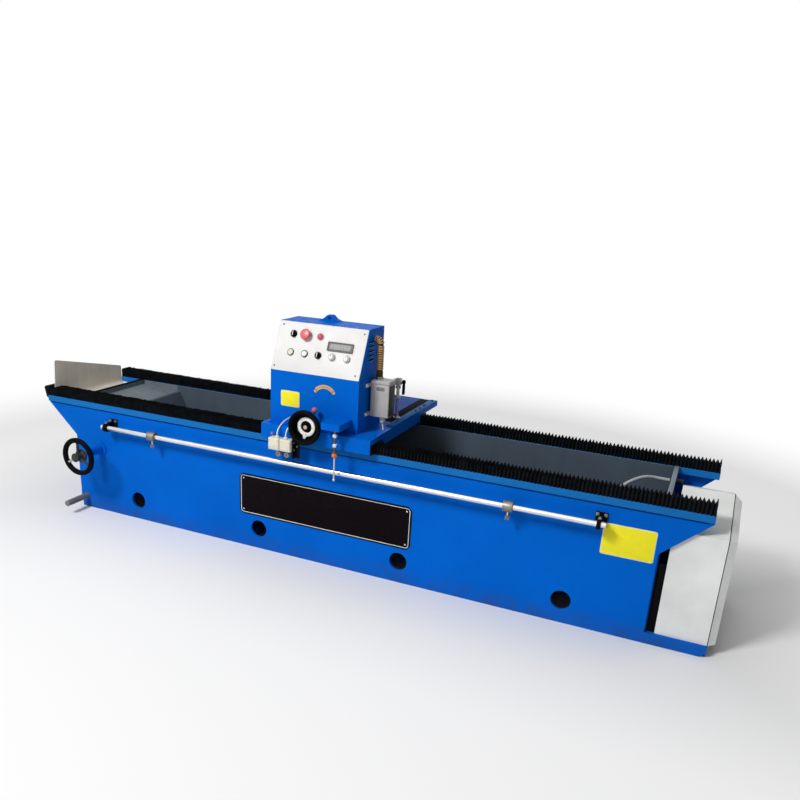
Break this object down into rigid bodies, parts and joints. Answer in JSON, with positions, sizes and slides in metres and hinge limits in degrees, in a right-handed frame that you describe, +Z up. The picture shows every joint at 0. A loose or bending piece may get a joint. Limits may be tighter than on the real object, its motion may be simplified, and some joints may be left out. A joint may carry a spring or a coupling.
{
  "type": "knife grinding machine",
  "caption": "Long blue bed with covered rail beams, a travelling carriage with a sloping control panel and a vertical grinding head, over a tilting table for straight machine knives",
  "frame": {"origin": "on the floor, at the middle of the bed's four floor bolt holes", "axes": "+X along the bed to the operator's right, +Y from the operator's side to the rear, +Z up"},
  "size_m": [3.431, 1.001, 1.154],
  "materials": {
    "blue_paint": "glossy blue enamel",
    "beam_paint": "semi-gloss blue enamel",
    "bellows_cloth": "black coated cloth, folded",
    "liner_grey": "slate grey paint",
    "guard_grey": "grey painted sheet",
    "cover_white": "pale grey-white paint",
    "bright_steel": "ground steel",
    "dark_steel": "dark oiled steel",
    "table_iron": "ground cast iron",
    "bronze": "cast bronze",
    "black_plastic": "black bakelite",
    "plate_black": "gloss black plate",
    "cream_paint": "cream enamel",
    "panel_white": "white satin plate",
    "display_black": "black moulded bezel",
    "button_red": "red moulded plastic",
    "button_green": "green moulded plastic",
    "button_white": "white moulded plastic",
    "knob_silver": "turned aluminium",
    "ball_red": "red ball on steel",
    "box_grey": "light grey paint",
    "conduit_tan": "ribbed yellow-brown plastic",
    "lead_grey": "pale sheathed lead",
    "motor_blue": "motor enamel",
    "abrasive": "vitrified abrasive"
  },
  "bodies": {
    "root": {"side_plates": "blue_paint", "rail_beams": "beam_paint", "base_frame": "blue_paint", "bulkheads": "blue_paint", "trough_liner": "liner_grey", "guide_rails": "bright_steel", "left_bellows": "bellows_cloth", "right_bellows": "bellows_cloth", "splash_guard": "guard_grey", "end_cover": "cover_white", "end_cover_cap": "cover_white", "coolant_unit": "motor_blue", "coolant_hose": "lead_grey", "hose_fittings": "bright_steel", "gear_rack": "bright_steel", "trip_rod": "bright_steel", "rod_brackets": "dark_steel", "lifting_bar": "dark_steel", "name_plate": "plate_black", "bearing_housings": "blue_paint"},
    "carriage": {"saddle": "blue_paint", "runner_blocks": "bright_steel", "control_box": "blue_paint", "control_panel": "panel_white", "panel_indicators": "display_black", "limit_switch": "cream_paint", "carriage_leads": "lead_grey", "lever_housing": "blue_paint", "junction_box": "box_grey", "conduit": "conduit_tan", "coolant_pipe": "bright_steel", "column": "blue_paint", "gearmotor": "motor_blue"},
    "pinion": {"pinion": "bright_steel"},
    "head": {"head_slide": "blue_paint", "motor": "motor_blue", "wheel_guard": "guard_grey"},
    "spindle": {"spindle": "bright_steel", "cup_wheel": "abrasive"},
    "feed_drive": {"feed_wheel": "black_plastic", "feed_shaft": "bright_steel"},
    "feed_screw": {"feed_screw": "bright_steel"},
    "clutch_lever": {"clutch_lever": "ball_red"},
    "trip_lever": {"trip_lever": "bright_steel"},
    "stop_button": {"stop_button": "button_red"},
    "start_button": {"start_button": "button_green"},
    "white_button": {"white_button": "button_white"},
    "upper_selector": {"upper_selector": "black_plastic"},
    "lower_selector": {"lower_selector": "black_plastic"},
    "left_knob": {"left_knob": "knob_silver"},
    "right_knob": {"right_knob": "knob_silver"},
    "left_roller": {"left_roller": "bright_steel"},
    "right_roller": {"right_roller": "bright_steel"},
    "valve_handle": {"valve_handle": "black_plastic"},
    "left_collar": {"left_collar": "bright_steel"},
    "right_collar": {"right_collar": "bright_steel"},
    "table": {"knife_table": "table_iron", "worm_wheel": "bronze"},
    "tilt_drive": {"tilt_handwheel": "black_plastic", "worm_shaft": "bright_steel"}
  },
  "joints": [
    {"name": "carriage_travel", "type": "slide", "parent": "root", "child": "carriage", "axis": [1, 0, 0], "range_m": [-0.7, 0.8], "deforming": ["left_bellows", "right_bellows"]},
    {"name": "pinion_turn", "type": "hinge", "parent": "carriage", "child": "pinion", "pos_m": [-0.15, 0.385, 0.585], "axis": [0, 0, 1], "range_deg": [-1150, 1010]},
    {"name": "feed_wheel_turn", "type": "hinge", "parent": "carriage", "child": "feed_drive", "pos_m": [-0.053, -0.305, 0.695], "axis": [0, 1, 0], "range_deg": [-2165, 1445]},
    {"name": "feed_screw_turn", "type": "hinge", "parent": "carriage", "child": "feed_screw", "pos_m": [-0.053, -0.0355, 0.9], "axis": [0, 0, 1], "range_deg": [-2165, 1445]},
    {"name": "head_feed", "type": "slide", "parent": "carriage", "child": "head", "axis": [0, 0, 1], "range_m": [-0.02, 0.03]},
    {"name": "spindle_turn", "type": "hinge", "parent": "head", "child": "spindle", "pos_m": [-0.053, 0.1, 0.6], "axis": [0, 0, 1], "continuous": true},
    {"name": "clutch_lever_swing", "type": "hinge", "parent": "carriage", "child": "clutch_lever", "pos_m": [-0.053, -0.34, 0.695], "axis": [0, 1, 0], "range_deg": [-30, 15]},
    {"name": "trip_lever_swing", "type": "hinge", "parent": "carriage", "child": "trip_lever", "pos_m": [0.102, -0.413, 0.721], "axis": [0, 1, 0], "range_deg": [-12, 12]},
    {"name": "stop_press", "type": "slide", "parent": "carriage", "child": "stop_button", "axis": [0, 0.9203, -0.3913], "range_m": [0, 0.006]},
    {"name": "start_press", "type": "slide", "parent": "carriage", "child": "start_button", "axis": [0, 0.9203, -0.3913], "range_m": [0, 0.004], "stiffness_N_per_m": 400, "springref_m": -0.002},
    {"name": "white_press", "type": "slide", "parent": "carriage", "child": "white_button", "axis": [0, 0.9203, -0.3913], "range_m": [0, 0.004], "stiffness_N_per_m": 400, "springref_m": -0.002},
    {"name": "upper_selector_turn", "type": "hinge", "parent": "carriage", "child": "upper_selector", "pos_m": [-0.208, -0.23652, 1.07304], "axis": [0, -0.9203, 0.3913], "range_deg": [-45, 45]},
    {"name": "lower_selector_turn", "type": "hinge", "parent": "carriage", "child": "lower_selector", "pos_m": [-0.065, -0.26978, 0.99482], "axis": [0, -0.9203, 0.3913], "range_deg": [-45, 45]},
    {"name": "left_knob_turn", "type": "hinge", "parent": "carriage", "child": "left_knob", "pos_m": [0.005, -0.26978, 0.99482], "axis": [0, -0.9203, 0.3913], "range_deg": [-150, 150]},
    {"name": "right_knob_turn", "type": "hinge", "parent": "carriage", "child": "right_knob", "pos_m": [0.079, -0.26978, 0.99482], "axis": [0, -0.9203, 0.3913], "range_deg": [-150, 150]},
    {"name": "left_roller_press", "type": "slide", "parent": "carriage", "child": "left_roller", "axis": [0, 0, 1], "range_m": [0, 0.005], "stiffness_N_per_m": 1500, "springref_m": -0.003},
    {"name": "right_roller_press", "type": "slide", "parent": "carriage", "child": "right_roller", "axis": [0, 0, 1], "range_m": [0, 0.005], "stiffness_N_per_m": 1500, "springref_m": -0.003},
    {"name": "valve_turn", "type": "hinge", "parent": "carriage", "child": "valve_handle", "pos_m": [0.2245, 0.052, 0.853], "axis": [1, 0, 0], "range_deg": [0, 90]},
    {"name": "left_collar_slide", "type": "slide", "parent": "root", "child": "left_collar", "axis": [1, 0, 0], "range_m": [-0.24, 0.5]},
    {"name": "right_collar_slide", "type": "slide", "parent": "root", "child": "right_collar", "axis": [1, 0, 0], "range_m": [-0.5, 0.3]},
    {"name": "tilt_wheel_turn", "type": "hinge", "parent": "root", "child": "tilt_drive", "pos_m": [-1.333, -0.482, 0.354], "axis": [0, 1, 0], "range_deg": [-1710, 380]},
    {"name": "table_tilt", "type": "hinge", "parent": "root", "child": "table", "pos_m": [0, 0.1, 0.429], "axis": [1, 0, 0], "range_deg": [-10.1, 45.1]}
  ],
  "couplings": [
    {"joint": "pinion_turn", "follows": "carriage_travel", "rad_per_m": -25},
    {"joint": "feed_screw_turn", "follows": "head_feed", "rad_per_m": -1256.6},
    {"joint": "feed_wheel_turn", "follows": "head_feed", "rad_per_m": -1256.6},
    {"joint": "table_tilt", "follows": "tilt_wheel_turn", "ratio": -0.026316}
  ]
}
